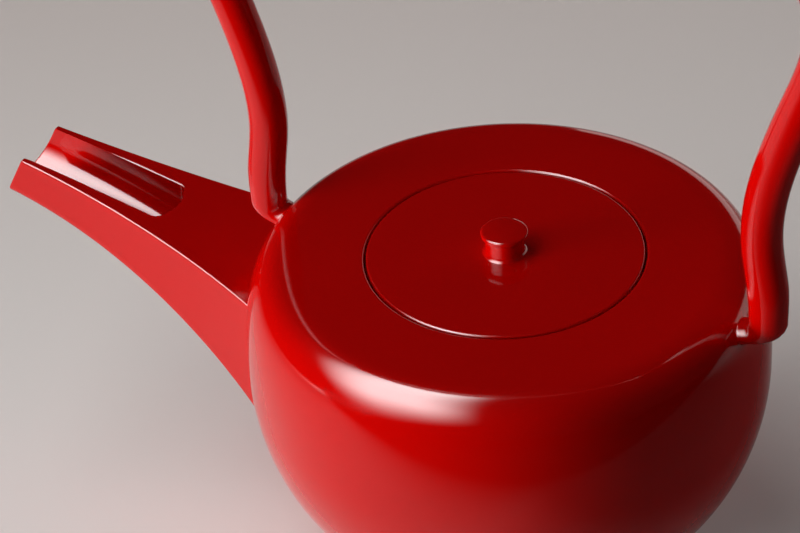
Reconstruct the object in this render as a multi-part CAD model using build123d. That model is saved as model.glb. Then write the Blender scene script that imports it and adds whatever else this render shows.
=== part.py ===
# Lacquered wooden sake ewer with a fixed arched handle, an open-topped spout and a lift-off lid.
# Millimetres. +Z is up and z = 0 is the surface it stands on. The bowl's axis is x = y = 0.
# +X runs from the bowl to the lip of the spout, and the whole ewer is symmetric about y = 0.
from build123d import *
import math
import os

# Bowl: a turned hollow with a flat top and a soft shoulder
top_height = 101.0          # the flat top above the table
belly_radius = 75.5
shoulder_width = 10.1       # from the belly in to the edge of the flat top
belly_height = 65.3         # the widest level
shoulder_start = 3.9        # how far the curve follows the flat top
shoulder_fall = 30.3        # how far it follows the wall below the shoulder
belly_fall = 29.8           # the same below the belly
base_radius = 37.1          # the turned bottom, where the foot ring is glued
base_height = 6.4
base_reach = 19.4           # how far the curve follows the slope of the bottom
base_slope = 10.8           # degrees

top_thickness = 6.5
wall = 5.6                  # at the belly
floor_thickness = 6.0
ceiling_inset = 15.4        # the flat underside of the top ends this far inside the flat top
inner_shoulder_reach = 14.0
inner_shoulder_fall = 19.0
floor_inset = 3.1           # the flat floor ends this far inside the bottom's edge
inner_floor_reach = 17.0
inner_belly_fall = 27.0

# Joint between the turned bowl and the turned top: an overlapping step, glued
joint_drop = 17.0           # below the flat top
lap_depth = 5.0
lap_inset = 4.5             # of the lap, from the belly

# Foot ring, glued into a groove in the bottom
foot_radius = 38.4
foot_ring_width = 6.0
foot_tongue_width = 2.4
foot_tongue_depth = 2.0
foot_arris = 0.8

# Mouth and lid
lid_radius = 39.6
lid_gap = 0.4               # all round the lid
lid_thickness = 3.2
ledge_width = 4.0           # what the lid rests on
register_gap = 0.6          # between the step under the lid and the ledge
register_depth = 3.0
lid_arris = 0.45

# Knob: a low turned spool on a round tenon
knob_radius = 6.7
knob_waist_radius = 5.6
knob_base_radius = 6.4
knob_height = 7.0
knob_rim = 1.1              # height of the rim under the top
knob_crown = 0.35
knob_flare = 1.3
tenon_radius = 2.2
tenon_depth = 4.0
knob_arris = 0.35

# Spout: a carved trough that flares to the bowl, with the root closed by an inlaid cover.
# Reaches are measured outwards from the belly, and drops down from the flat top.
tip_reach = 81.6            # the top edge of the tip
lip_reach = 89.2            # the lower lip, which reaches further
tip_drop = 2.8
lip_drop = 16.4
root_inset = 5.3
root_drop = 23.3
spout_top_bow = 0.9         # the top swells this much over the straight line
root_bottom_inset = 11.5
root_bottom_rise = 21.1     # above the turned bottom
root_sweep = (27.0, 27.0)   # how the underside leaves the bowl: reach and rise
lip_sweep = (40.3, 9.1)     # and how it comes to the lip
spout_tip_half_width = 10.2
spout_root_half_width = 25.7
root_flare = (25.0, 8.5)    # how the sides leave the bowl: reach and narrowing
tip_flare = (34.0, 1.2)     # and how they come to the tip
root_overrun = 14.0         # how far the spout is made on into the bowl before it is cut to fit
root_tuck = (5.2, 6.0, 20.0)    # how its sides close in there: lead, then reach and half width
spout_edge_round = 3.2      # along both lower edges
spout_arris = 0.5
slot_half_width = 8.55
slot_end_reach = 33.8
slot_end_bow = 3.0          # the closed end is hollow by this much
slot_corner = 2.5
channel_round = 5.0
lip_thickness = 2.6         # of the trough's floor at the lip
root_floor_thickness = 13.0
cover_thickness = 3.2
cover_ledge = 3.0           # what the cover rests on, each side of the channel
cover_arm = 9.0             # how far it reaches past the closed end of the slot
pour_hole_wood = 2.5        # the bowl's wood between the hole and the cover

# Handle: a slender arch whose feet turn in to the shoulder and taper.
# Its middle line is given by reach from the bowl's side at the pegs, and height over the flat top.
handle_half_thickness = 5.7
handle_half_depth = 5.4
handle_shift = -1.1         # the handle stands this far towards the back
foot_corner_inset = 0.5     # the inner corner that the feet turn about
foot_corner_drop = 3.2
foot_corner_gap = 0.6       # between that corner and the wood
foot_seat_half_thickness = 2.9
foot_lead = 4.0             # how far the feet are made on into the bowl before they are cut to fit
foot_steps = 4              # sections in the quarter turn
leg_low = (4.7, 11.7)
leg_waist = (3.1, 23.4)
leg_middle = (7.2, 52.7)
leg_upper = (13.0, 70.0)
leg_top = (18.3, 92.0)      # where the legs stand upright again
arch_corner_radius = 38.0
arch_crown_radius = 150.0

# Wooden pegs through the feet, hidden
peg_radius = 2.2
peg_drop = 7.2              # below the flat top
peg_in_foot = 5.0
peg_in_bowl = 8.0

far = 400.0                 # larger than the ewer
near = 0.01                 # two sizes this close count as the same

# Worked out from the sizes above
flat_radius = belly_radius - shoulder_width
ceiling_radius = flat_radius - ceiling_inset
floor_radius = base_radius - floor_inset
joint_height = top_height - joint_drop
lap_radius = belly_radius - lap_inset
spout_tip_x = belly_radius + tip_reach
spout_lip_x = belly_radius + lip_reach
spout_tip_top = top_height - tip_drop
spout_lip_bottom = top_height - lip_drop
spout_root_x = belly_radius - root_inset
spout_root_top = top_height - root_drop
spout_root_bottom_x = belly_radius - root_bottom_inset
spout_root_bottom = base_height + root_bottom_rise
slot_end_x = belly_radius + slot_end_reach
pour_hole_top = spout_root_top - cover_thickness - pour_hole_wood
peg_height = top_height - peg_drop


def bezier_end(point, reach, angle):
    """A point that lies reach away from another, angle degrees above the horizontal."""
    turn = math.radians(angle)
    return (point[0] + reach * math.cos(turn), point[1] + reach * math.sin(turn))


def turned(points_edges):
    """Spins a closed outline, given in radius and height, about the bowl's axis."""
    with BuildPart() as solid:
        with BuildSketch(Plane.XZ):
            with BuildLine():
                for edge in points_edges:
                    add(edge)
            make_face()
        revolve(axis=Axis.Z)
    return solid.part


def outer_form():
    """The bowl's outside as a full solid, from the turned bottom to the flat top."""
    top_edge = (flat_radius, top_height)
    belly = (belly_radius, belly_height)
    base_edge = (base_radius, base_height)
    slope_end = bezier_end(base_edge, base_reach, base_slope)
    return turned([
        Line((0, top_height), top_edge),
        Bezier(top_edge, (flat_radius + shoulder_start, top_height),
               (belly_radius, belly_height + shoulder_fall), belly),
        Bezier(belly, (belly_radius, belly_height - belly_fall), slope_end, base_edge),
        Line(base_edge, (0, base_height)),
        Line((0, base_height), (0, top_height)),
    ])


def inner_form():
    """The hollow, with a thick corner under the shoulder where the handle is pegged."""
    ceiling = top_height - top_thickness
    floor = base_height + floor_thickness
    inner_belly = belly_radius - wall
    ceiling_edge = (ceiling_radius, ceiling)
    belly = (inner_belly, belly_height)
    floor_edge = (floor_radius, floor)
    return turned([
        Line((0, ceiling), ceiling_edge),
        Bezier(ceiling_edge, (ceiling_radius + inner_shoulder_reach, ceiling),
               (inner_belly, belly_height + inner_shoulder_fall), belly),
        Bezier(belly, (inner_belly, belly_height - inner_belly_fall),
               (floor_radius + inner_floor_reach, floor), floor_edge),
        Line(floor_edge, (0, floor)),
        Line((0, floor), (0, ceiling)),
    ])


def disc(radius, low, high):
    """A round block about the bowl's axis between two heights."""
    return Pos(0, 0, (low + high) / 2) * Cylinder(radius, high - low)


def top_zone():
    """The space of the turned top: all above the joint, and the tongue inside the lap."""
    upper = disc(far, joint_height, far)
    tongue = disc(lap_radius, joint_height - lap_depth, joint_height)
    return upper + tongue


def at_arris(shape, radius, height):
    """The round edges of a shape at one radius and height."""
    edges = shape.edges().filter_by(GeomType.CIRCLE)
    return [e for e in edges if abs(e.radius - radius) < near and abs(e.center().Z - height) < near]


def top_ring():
    seat_radius = lid_radius + lid_gap
    seat_height = top_height - lid_thickness
    ring = (outer_form() - inner_form()) & top_zone()
    ring -= disc(seat_radius, seat_height, far)
    ring -= disc(seat_radius - ledge_width, 0, far)
    ring -= pegs()
    return fillet(at_arris(ring, seat_radius, top_height), lid_arris)


def lower_bowl():
    bowl = (outer_form() - inner_form()) - top_zone()
    groove_outer = foot_groove_outer()
    groove = disc(groove_outer, 0, base_height + foot_tongue_depth)
    groove -= disc(groove_outer - foot_tongue_width, 0, far)
    bowl -= groove
    return bowl - pour_passage()


def foot_groove_outer():
    """The outer radius of the foot ring's tongue, in the middle of the ring."""
    middle = base_radius - foot_ring_width / 2
    return middle + foot_tongue_width / 2


def foot_ring():
    """A ring that spreads a little to the table, with a tongue in the bowl's bottom."""
    inner = base_radius - foot_ring_width
    ring = turned([
        Line((inner, 0), (foot_radius, 0)),
        TangentArc((base_radius, base_height), (foot_radius, 0), tangent=(0, -1)),
        Line((base_radius, base_height), (inner, base_height)),
        Line((inner, base_height), (inner, 0)),
    ])
    ring = fillet(at_arris(ring, inner, 0) + at_arris(ring, foot_radius, 0), foot_arris)
    outer = foot_groove_outer()
    tongue = disc(outer, base_height, base_height + foot_tongue_depth)
    tongue -= disc(outer - foot_tongue_width, 0, far)
    return ring + tongue


def side_slab(edges, half_width):
    """A block with a given side view, reaching as far as told on both sides of y = 0."""
    with BuildPart() as slab:
        with BuildSketch(Plane.XZ):
            with BuildLine():
                for edge in edges:
                    add(edge)
            make_face()
        extrude(amount=half_width, both=True)
    return slab.part


def plan_slab(edges):
    """A tall block with a given plan."""
    with BuildPart() as slab:
        with BuildSketch():
            with BuildLine():
                for edge in edges:
                    add(edge)
            make_face()
        extrude(amount=far)
    return slab.part


def spout_top_edge(drop=0.0):
    """The line of the spout's top in the side view, lowered by drop."""
    root = (spout_root_x, spout_root_top - drop)
    tip = (spout_tip_x, spout_tip_top - drop)
    middle = ((root[0] + tip[0]) / 2, (root[1] + tip[1]) / 2 + spout_top_bow)
    return ThreePointArc(root, middle, tip)


def under_edge(root_rise=0.0, lip_rise=0.0):
    """The sweep of the spout's underside, raised for the floor of its channel."""
    root = (spout_root_bottom_x, spout_root_bottom + root_rise)
    lip = (spout_lip_x, spout_lip_bottom + lip_rise)
    return Bezier(root, (root[0] + root_sweep[0], root[1] + root_sweep[1]),
                  (lip[0] - lip_sweep[0], lip[1] - lip_sweep[1]), lip)


def on_from_root(root_rise=0.0):
    """A point on the straight run of the underside into the bowl."""
    fall = root_overrun * root_sweep[1] / root_sweep[0]
    return (spout_root_bottom_x - root_overrun, spout_root_bottom + root_rise - fall)


def spout_side():
    """The spout in the side view, with the slanted end and a rear end inside the bowl."""
    rear_top = (on_from_root()[0], spout_root_top)
    return side_slab([
        spout_top_edge(),
        Line((spout_tip_x, spout_tip_top), (spout_lip_x, spout_lip_bottom)),
        under_edge(),
        Line((spout_root_bottom_x, spout_root_bottom), on_from_root()),
        Line(on_from_root(), rear_top),
        Line(rear_top, (spout_root_x, spout_root_top)),
    ], 2 * spout_root_half_width)


def spout_plan():
    """The spout from above: wide at the bowl, and narrowing in a hollow curve."""
    root = (spout_root_x, spout_root_half_width)
    tip = (spout_lip_x, spout_tip_half_width)
    rear_x = on_from_root()[0]
    lead, reach, half_width = root_tuck
    half = plan_slab([
        Bezier((rear_x, 0), (rear_x + reach, half_width),
               (root[0] - lead, root[1] + lead * root_flare[1] / root_flare[0]), root),
        Bezier(root, (root[0] + root_flare[0], root[1] - root_flare[1]),
               (tip[0] - tip_flare[0], tip[1] + tip_flare[1]), tip),
        Line(tip, (tip[0], 0)),
        Line((tip[0], 0), (rear_x, 0)),
    ])
    return half + mirror(half, about=Plane.XZ)


def spout_form():
    """The outside of the spout, with its lower edges and its top arrises rounded."""
    form = spout_side() & spout_plan()
    lower = [e for e in form.edges() if is_long_edge(e, low=True)]
    form = fillet(lower, spout_edge_round)
    upper = [e for e in form.edges() if is_long_edge(e, low=False)]
    return fillet(upper, spout_arris)


def is_long_edge(edge, low):
    """Whether an edge runs along the spout beside its underside, or beside its top."""
    start, end = edge.position_at(0), edge.position_at(1)
    long_enough = abs(start.X - end.X) > (spout_tip_x - spout_root_x) / 2
    beside = abs(edge.position_at(0.5).Y) > spout_tip_half_width / 2
    middle = edge.position_at(0.5)
    half_way = (spout_root_top + spout_lip_bottom) / 2
    return long_enough and beside and (middle.Z < half_way) == low


def channel():
    """What is carved out of the trough: open to the sky, with a rounded floor."""
    beyond = spout_lip_x + root_overrun
    lip = (spout_lip_x, spout_lip_bottom + lip_thickness)
    out = (beyond, lip[1] + root_overrun * lip_sweep[1] / lip_sweep[0])
    rear = on_from_root(root_floor_thickness)
    root = (spout_root_bottom_x, spout_root_bottom + root_floor_thickness)
    block = side_slab([
        Line(rear, root),
        under_edge(root_floor_thickness, lip_thickness),
        Line(lip, out),
        Line(out, (beyond, far)),
        Line((beyond, far), (rear[0], far)),
        Line((rear[0], far), rear),
    ], slot_half_width)
    floor_edges = [e for e in block.edges()
                   if e.position_at(0).Z < far and e.position_at(1).Z < far
                   and abs(abs(e.position_at(0.5).Y) - slot_half_width) < near
                   and abs(e.position_at(0).Y - e.position_at(1).Y) < near]
    return fillet(floor_edges, channel_round)


def pour_passage():
    """The hole through the bowl's wall, in line with the channel and closed above."""
    return channel() & Box(far, far, 2 * pour_hole_top)


def slot():
    """The open part of the spout's top, from a bowed end with rounded corners to the tip."""
    corner = (slot_end_x + slot_end_bow, slot_half_width)
    block = plan_slab([
        ThreePointArc((corner[0], -corner[1]), (slot_end_x, 0), corner),
        Line(corner, (far, corner[1])),
        Line((far, corner[1]), (far, -corner[1])),
        Line((far, -corner[1]), (corner[0], -corner[1])),
    ])
    corners = block.edges().filter_by(Axis.Z).sort_by(Axis.X)[:2]
    return fillet(corners, slot_corner)


def cover_zone():
    """The space of the inlaid cover: down to its underside, and wider than the channel."""
    half_width = slot_half_width + cover_ledge
    front = slot_end_x + cover_arm
    rear_x = on_from_root()[0]
    low_root = (spout_root_x, spout_root_top - cover_thickness)
    low_tip = (spout_tip_x, spout_tip_top - cover_thickness)
    block = side_slab([
        spout_top_edge(cover_thickness),
        Line(low_tip, (spout_tip_x, far)),
        Line((spout_tip_x, far), (rear_x, far)),
        Line((rear_x, far), (rear_x, low_root[1])),
        Line((rear_x, low_root[1]), low_root),
    ], half_width)
    return block & (Pos(front - far, 0, 0) * Box(2 * far, 2 * far, 4 * far))


def spout_trough():
    return spout_form() - cover_zone() - channel() - outer_form()


def spout_cover():
    return (spout_form() & cover_zone()) - slot() - outer_form()


def at_handle(point):
    """A point of the handle's middle line, from its reach and its height over the flat top."""
    return (seat_radius_at_foot() + point[0], top_height + point[1])


def arch_path():
    """The handle's middle line, from one foot over the top to the other."""
    corner_x, corner_z = at_handle((-foot_corner_inset, -foot_corner_drop))
    foot_top = (corner_x + foot_corner_gap + handle_half_thickness, corner_z)
    leg = [at_handle(point) for point in (leg_low, leg_waist, leg_middle, leg_upper, leg_top)]
    inset = leg[-1][0] - arch_corner_radius
    fall = math.sqrt((arch_crown_radius - arch_corner_radius) ** 2 - inset ** 2)
    corner_angle = math.degrees(math.atan2(fall, inset))
    crown = (0, leg[-1][1] - fall + arch_crown_radius)
    with BuildLine(Plane.XZ) as line:
        Spline([foot_top, *leg], tangents=[(0, 1), (0, 1)])
        corner = JernArc(leg[-1], (0, 1), arch_corner_radius, corner_angle)
        TangentArc(corner @ 1, crown, tangent=corner % 1)
        mirror(about=Plane.YZ)
    return line.wires()[0]


def oval(half_thickness):
    """A section of the handle, which is always as deep and may be thinner."""
    return scale(Circle(1), (half_thickness, handle_half_depth, 1))


def foot_section(angle, lead=0.0):
    """One section of a foot, turned by angle from level, and moved inwards by lead."""
    turn = math.radians(angle)
    taper = math.sin(turn)
    half = handle_half_thickness + taper * (foot_seat_half_thickness - handle_half_thickness)
    outward = Vector(math.cos(turn), 0, -math.sin(turn))
    corner_x, corner_z = at_handle((-foot_corner_inset, -foot_corner_drop))
    corner = Vector(corner_x - lead, 0, corner_z)
    plane = Plane(origin=corner + outward * (foot_corner_gap + half), x_dir=outward,
                  z_dir=outward.cross(Vector(0, 1, 0)))
    return plane * oval(half)


def foot():
    """The foot at the spout's side: a tapering quarter turn that runs on into the bowl."""
    sections = [foot_section(90 * step / foot_steps) for step in range(foot_steps + 1)]
    return loft(sections + [foot_section(90, foot_lead)])


def peg_zone(side):
    """The space of one peg, from the bowl's thick shoulder into the foot of the handle."""
    seat = side * seat_radius_at_foot()
    inner = seat - side * peg_in_bowl
    outer = seat + side * peg_in_foot
    peg = Cylinder(peg_radius, abs(outer - inner), rotation=(0, 90, 0))
    return Pos((inner + outer) / 2, 0, peg_height) * peg


def seat_radius_at_foot():
    """The bowl's radius at the height of the pegs."""
    level = Line((0, peg_height), (far, peg_height))
    shoulder = Bezier((flat_radius, top_height), (flat_radius + shoulder_start, top_height),
                      (belly_radius, belly_height + shoulder_fall), (belly_radius, belly_height))
    return shoulder.intersect(level)[0].X


def pegs():
    return peg_zone(1) + peg_zone(-1)


def handle():
    """A swept arch whose feet are cut to sit on the shoulder and drilled for the pegs."""
    path = arch_path()
    start = Plane(origin=path @ 0, x_dir=(1, 0, 0), z_dir=path % 0)
    arch = sweep(start * oval(handle_half_thickness), path)
    front = foot()
    whole = arch + front + mirror(front, about=Plane.YZ)
    return Pos(handle_shift, 0, 0) * whole - outer_form() - pegs()


def handle_front_peg():
    return peg_zone(1)


def handle_rear_peg():
    return peg_zone(-1)


def lid_plate():
    """A turned plate with a step beneath that keeps it centred in the mouth."""
    low = top_height - lid_thickness
    plate = disc(lid_radius, low, top_height)
    plate = fillet(at_arris(plate, lid_radius, top_height), lid_arris)
    register_radius = lid_radius + lid_gap - ledge_width - register_gap
    step = disc(register_radius, low - register_depth, low)
    step = fillet(at_arris(step, register_radius, low - register_depth), lid_arris)
    return plate + step - disc(tenon_radius, top_height - tenon_depth, top_height)


def lid_knob():
    """A low spool: a faintly crowned top with a crisp rim, a waist and a flared base."""
    base = top_height
    rim_low = base + knob_height - knob_rim
    rim_top = base + knob_height
    knob = turned([
        Line((0, base), (knob_base_radius, base)),
        TangentArc((knob_waist_radius, base + knob_flare), (knob_base_radius, base), tangent=(0, -1)),
        Line((knob_waist_radius, base + knob_flare), (knob_waist_radius, rim_low - knob_flare)),
        TangentArc((knob_waist_radius, rim_low - knob_flare), (knob_radius, rim_low), tangent=(0, 1)),
        Line((knob_radius, rim_low), (knob_radius, rim_top)),
        TangentArc((0, rim_top + knob_crown), (knob_radius, rim_top), tangent=(1, 0)),
        Line((0, rim_top + knob_crown), (0, base)),
    ])
    knob = fillet(at_arris(knob, knob_radius, rim_top), knob_arris)
    return knob + disc(tenon_radius, base - tenon_depth, base)


STEPS = {
    "lower_bowl": lower_bowl,
    "top_ring": top_ring,
    "foot_ring": foot_ring,
    "spout_trough": spout_trough,
    "spout_cover": spout_cover,
    "handle": handle,
    "handle_front_peg": handle_front_peg,
    "handle_rear_peg": handle_rear_peg,
    "lid_plate": lid_plate,
    "lid_knob": lid_knob,
}

if __name__ == "__main__":
    os.makedirs("parts", exist_ok=True)
    for name, build in STEPS.items():
        export_step(build(), f"parts/{name}.step")
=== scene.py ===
"""Looks of a lacquered sake ewer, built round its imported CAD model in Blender 4.5.

Everything is in metres, in the frame of the CAD model: +Z is up, z = 0 is the table, the bowl's
axis is x = y = 0, and the spout points along +X. The operators rebuild the turned and carved
pieces as smooth lacquered surfaces, and set up a small photo studio round them.
"""

import math

import bpy
import numpy as np
from mathutils import Matrix, Vector


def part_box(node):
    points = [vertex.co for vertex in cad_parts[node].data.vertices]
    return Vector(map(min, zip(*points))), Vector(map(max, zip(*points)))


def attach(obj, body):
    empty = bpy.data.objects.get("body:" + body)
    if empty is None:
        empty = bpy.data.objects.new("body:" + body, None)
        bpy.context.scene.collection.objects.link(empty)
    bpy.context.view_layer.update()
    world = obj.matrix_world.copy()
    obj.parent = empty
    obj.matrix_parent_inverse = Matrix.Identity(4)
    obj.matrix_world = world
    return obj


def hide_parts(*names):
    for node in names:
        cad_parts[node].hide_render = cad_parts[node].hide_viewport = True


bl_info = {
    "name": "Lacquered sake ewer",
    "version": (1, 0, 0),
    "blender": (4, 5, 0),
    "location": "3D View > Sidebar > Sake ewer",
    "description": "Builds the lacquered surfaces of a sake ewer and a small photo studio round it",
    "category": "Add Mesh",
}

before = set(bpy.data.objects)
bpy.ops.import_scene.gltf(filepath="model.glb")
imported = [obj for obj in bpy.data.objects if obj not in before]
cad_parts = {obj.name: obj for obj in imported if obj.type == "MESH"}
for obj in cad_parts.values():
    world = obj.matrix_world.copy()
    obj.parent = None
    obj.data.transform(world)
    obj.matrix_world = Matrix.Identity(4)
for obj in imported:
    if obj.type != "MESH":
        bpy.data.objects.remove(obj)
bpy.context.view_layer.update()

MM = 0.001                  # metres in a millimetre
ROUND_STEPS = 256           # faces round everything that is turned
WALL_STEPS = 2000           # points of the table that says where the bowl's wall is
SUNK = 1.5 * MM             # how deep the root of a fitted piece is hidden in the bowl's wall

# Where the long softbox hangs: over the spout's side, rising towards the back
SOFTBOX_PLACE = Matrix((
    (0.88057, -0.25341, 0.40047, 0.43574),
    (-0.17379, 0.61348, 0.77035, -0.20418),
    (-0.44090, -0.74794, 0.49618, 1.17929),
    (0, 0, 0, 1)))


def length(name, millimetres, description):
    """A size that a user can change, written in millimetres and kept in metres."""
    return bpy.props.FloatProperty(
        name=name, description=description, default=millimetres * MM,
        unit="LENGTH", subtype="DISTANCE", precision=5)


def linear(hex_colour):
    """The linear red, green, blue and alpha of an sRGB hex colour."""
    channels = [int(hex_colour[i:i + 2], 16) / 255 for i in (1, 3, 5)]
    return [c / 12.92 if c <= 0.04045 else ((c + 0.055) / 1.055) ** 2.4 for c in channels] + [1.0]


def colour(name, hex_colour, description):
    """A colour that a user can change, written as an sRGB hex value."""
    return bpy.props.FloatVectorProperty(
        name=name, description=description, default=linear(hex_colour),
        subtype="COLOR", size=4, min=0, max=1)


# ---------------------------------------------------------------------------------------------
# Sizes and colours
# ---------------------------------------------------------------------------------------------

class BowlSizes(bpy.types.PropertyGroup):
    """The turned bowl, its hollow and its foot ring."""
    top_height: length("Top height", 101.0, "The flat top above the table")
    flat_radius: length("Flat radius", 62.3, "Where the flat top turns into the shoulder")
    belly_radius: length("Belly radius", 75.5, "The bowl's widest radius")
    belly_height: length("Belly height", 65.3, "The level of the widest radius")
    shoulder_start: length("Shoulder start", 8.0, "How far the shoulder's curve follows the flat top")
    shoulder_ease: length("Shoulder ease", 6.0, "Over how long a stretch the flat top starts to bend")
    shoulder_fall: length("Shoulder fall", 30.3, "How far it follows the wall above the belly")
    belly_fall: length("Belly fall", 29.8, "How far the lower curve follows the wall below the belly")
    base_radius: length("Base radius", 37.1, "The turned bottom, over the foot ring")
    base_height: length("Base height", 6.4, "The turned bottom above the table")
    base_reach: length("Base reach", 19.4, "How far the curve follows the slope of the bottom")
    base_slope: bpy.props.FloatProperty(
        name="Base slope", description="How steeply the wall leaves the bottom",
        default=math.radians(10.8), unit="ROTATION", subtype="ANGLE")
    wall: length("Wall", 5.6, "Wood and lacquer at the belly")
    top_thickness: length("Top thickness", 6.5, "Wood and lacquer of the flat top")
    floor_thickness: length("Floor thickness", 6.0, "Wood and lacquer of the bottom")
    ceiling_radius: length("Ceiling radius", 50.0, "Where the underside of the top turns down")
    inner_shoulder_reach: length("Inner shoulder reach", 14.0, "How far it follows the underside")
    inner_shoulder_fall: length("Inner shoulder fall", 19.0, "How far it follows the inner wall")
    floor_radius: length("Floor radius", 34.0, "Where the hollow's floor turns up")
    inner_floor_reach: length("Inner floor reach", 17.0, "How far the curve follows the floor")
    inner_belly_fall: length("Inner belly fall", 27.0, "How far it follows the inner wall")
    mouth_radius: length("Mouth radius", 40.0, "The opening round the lid")
    ledge_width: length("Ledge width", 4.0, "What the lid rests on")
    mouth_arris: length("Mouth arris", 0.75, "Rounding of the edge round the mouth")
    foot_radius: length("Foot radius", 38.4, "The foot ring on the table")
    foot_ring_width: length("Foot ring width", 6.0, "The foot ring from inside to outside")
    foot_arris: length("Foot arris", 0.8, "Rounding of the foot ring's lower edges")


class LidSizes(bpy.types.PropertyGroup):
    """The round lid and its spool knob."""
    radius: length("Radius", 39.45, "The lid's plate")
    thickness: length("Thickness", 3.2, "The lid's plate")
    arris: length("Arris", 0.6, "Rounding of the plate's edges")
    step_radius: length("Step radius", 35.4, "The step beneath that centres the lid")
    step_depth: length("Step depth", 3.0, "The step beneath that centres the lid")
    knob_radius: length("Knob radius", 6.7, "The rim of the knob")
    knob_waist: length("Knob waist", 5.6, "The narrow part of the knob")
    knob_base: length("Knob base", 6.4, "The foot of the knob")
    knob_height: length("Knob height", 7.0, "The edge of the knob's top over the lid")
    knob_rim: length("Knob rim", 1.1, "Height of the rim under the knob's top")
    knob_crown: length("Knob crown", 0.35, "How much the knob's top swells")
    knob_flare: length("Knob flare", 1.3, "Height of the curves above and below the waist")
    knob_arris: length("Knob arris", 0.35, "Rounding of the rim's edges")


class SpoutSizes(bpy.types.PropertyGroup):
    """The carved spout with its open channel."""
    root_x: length("Root", 70.2, "Where the top edge leaves the bowl")
    root_top: length("Root top", 77.7, "Height of the top edge at the bowl")
    tip_x: length("Tip", 157.1, "The upper edge of the slanted end")
    tip_top: length("Tip top", 98.2, "Height of the upper edge of the slanted end")
    lip_x: length("Lip", 164.7, "The lower edge of the slanted end")
    lip_bottom: length("Lip bottom", 84.6, "Height of the lower edge of the slanted end")
    top_bow: length("Top bow", 0.9, "How much the top swells over the straight line")
    under_root_x: length("Underside root", 64.0, "Where the underside's sweep starts")
    under_root_height: length("Underside root height", 27.5, "Height of that point")
    under_root_pull: length("Underside root pull", 27.0, "How far the sweep leaves it, out and up")
    under_lip_reach: length("Underside lip reach", 40.3, "How the sweep comes to the lip, along")
    under_lip_rise: length("Underside lip rise", 9.1, "How the sweep comes to the lip, up")
    root_half_width: length("Root half width", 25.7, "Half the width at the bowl")
    tip_half_width: length("Tip half width", 10.2, "Half the width at the lip")
    root_flare_reach: length("Root flare reach", 25.0, "How the sides leave the bowl, along")
    root_flare_fall: length("Root flare fall", 8.5, "How the sides leave the bowl, inwards")
    tip_flare_reach: length("Tip flare reach", 34.0, "How the sides come to the lip, along")
    tip_flare_rise: length("Tip flare rise", 1.2, "How the sides come to the lip, outwards")
    edge_round: length("Edge round", 3.2, "Rounding of the two lower edges")
    arris: length("Arris", 0.5, "Rounding of the upper edges, the channel's edges and the end")
    root_fillet: length("Root fillet", 1.1, "Lacquer in the corner between spout and bowl")
    slot_half_width: length("Slot half width", 8.55, "Half the width of the channel")
    slot_end_x: length("Slot end", 109.3, "The closed end of the open channel")
    slot_bow: length("Slot bow", 3.0, "How much the closed end is bowed")
    slot_corner: length("Slot corner", 2.5, "Corners of the closed end")
    channel_round: length("Channel round", 8.0, "Rounding along the channel's floor")
    lip_thickness: length("Lip thickness", 2.6, "The channel's floor at the lip")
    root_floor_thickness: length("Root floor thickness", 10.5, "The channel's floor at the bowl")
    cover_thickness: length("Cover thickness", 3.2, "The board that closes the channel's root")
    pour_hole_top: length("Pour hole top", 72.0, "Top of the hole through the bowl's wall")


class HandleSizes(bpy.types.PropertyGroup):
    """The slender arched handle."""
    half_thickness: length("Half thickness", 5.7, "Half the oval, in the plane of the arch")
    half_depth: length("Half depth", 5.4, "Half the oval, across the arch")
    shift: length("Shift", -1.1, "The handle stands this far towards the back")
    foot_corner_x: length("Foot corner", 71.68, "The inner corner that the feet turn about")
    foot_corner_height: length("Foot corner height", 98.4, "Height of that corner")
    foot_turn: bpy.props.FloatProperty(
        name="Foot turn", description="How far the feet turn in to the shoulder",
        default=math.radians(72), unit="ROTATION", subtype="ANGLE")
    peg_radius: length("Peg radius", 2.0, "The hidden pegs in the feet")
    peg_end: length("Peg end", 73.2, "How far from the bowl's axis the pegs reach into the feet")
    foot_gap: length("Foot gap", 0.6, "Between that corner and the wood")
    taper: length("Taper", 0.35, "How much thinner the legs are where the feet turn in, over half")
    taper_height: length("Taper height", 13.0, "How far above the feet the legs start to taper")
    seat_half_thickness: length("Seat half thickness", 3.2, "Half the foot where it meets the bowl")
    seat_half_depth: length("Seat half depth", 5.0, "Half the foot across the arch, at the bowl")
    foot_fillet: length("Foot fillet", 0.3, "Lacquer in the corner between foot and bowl")
    corner_radius: length("Corner radius", 38.0, "The arch's corners")
    crown_radius: length("Crown radius", 150.0, "The arch's top")
    leg_low: bpy.props.FloatVectorProperty(
        name="Leg, low", description="Reach and height of the middle line", size=2,
        default=(0.07688, 0.1127), unit="LENGTH", subtype="XYZ_LENGTH")
    leg_waist: bpy.props.FloatVectorProperty(
        name="Leg, waist", description="Reach and height of the middle line", size=2,
        default=(0.07528, 0.1244), unit="LENGTH", subtype="XYZ_LENGTH")
    leg_middle: bpy.props.FloatVectorProperty(
        name="Leg, middle", description="Reach and height of the middle line", size=2,
        default=(0.07938, 0.1537), unit="LENGTH", subtype="XYZ_LENGTH")
    leg_upper: bpy.props.FloatVectorProperty(
        name="Leg, upper", description="Reach and height of the middle line", size=2,
        default=(0.08518, 0.1710), unit="LENGTH", subtype="XYZ_LENGTH")
    leg_top: bpy.props.FloatVectorProperty(
        name="Leg, top", description="Reach and height of the middle line", size=2,
        default=(0.09048, 0.1930), unit="LENGTH", subtype="XYZ_LENGTH")


class FinishColours(bpy.types.PropertyGroup):
    """Colours of the ewer and of the studio's floor."""
    lacquer: colour("Lacquer", "#A40100", "Vermilion lacquer in full light")
    lacquer_deep: colour("Deep lacquer", "#9A0100", "Where the coats lie thicker")
    wood: colour("Wood", "#B98A56", "Bare wood of the pegs")
    floor: colour("Floor", "#DBD8D5", "Grey paper under the ewer")
    # The far floor colour is painted shade: it darkens the paper behind the ewer, where the lamps' light falls off.
    floor_far_painted_shade: colour("Far floor", "#BFB2AD", "The same paper behind the ewer, where its tone is deeper")


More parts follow.
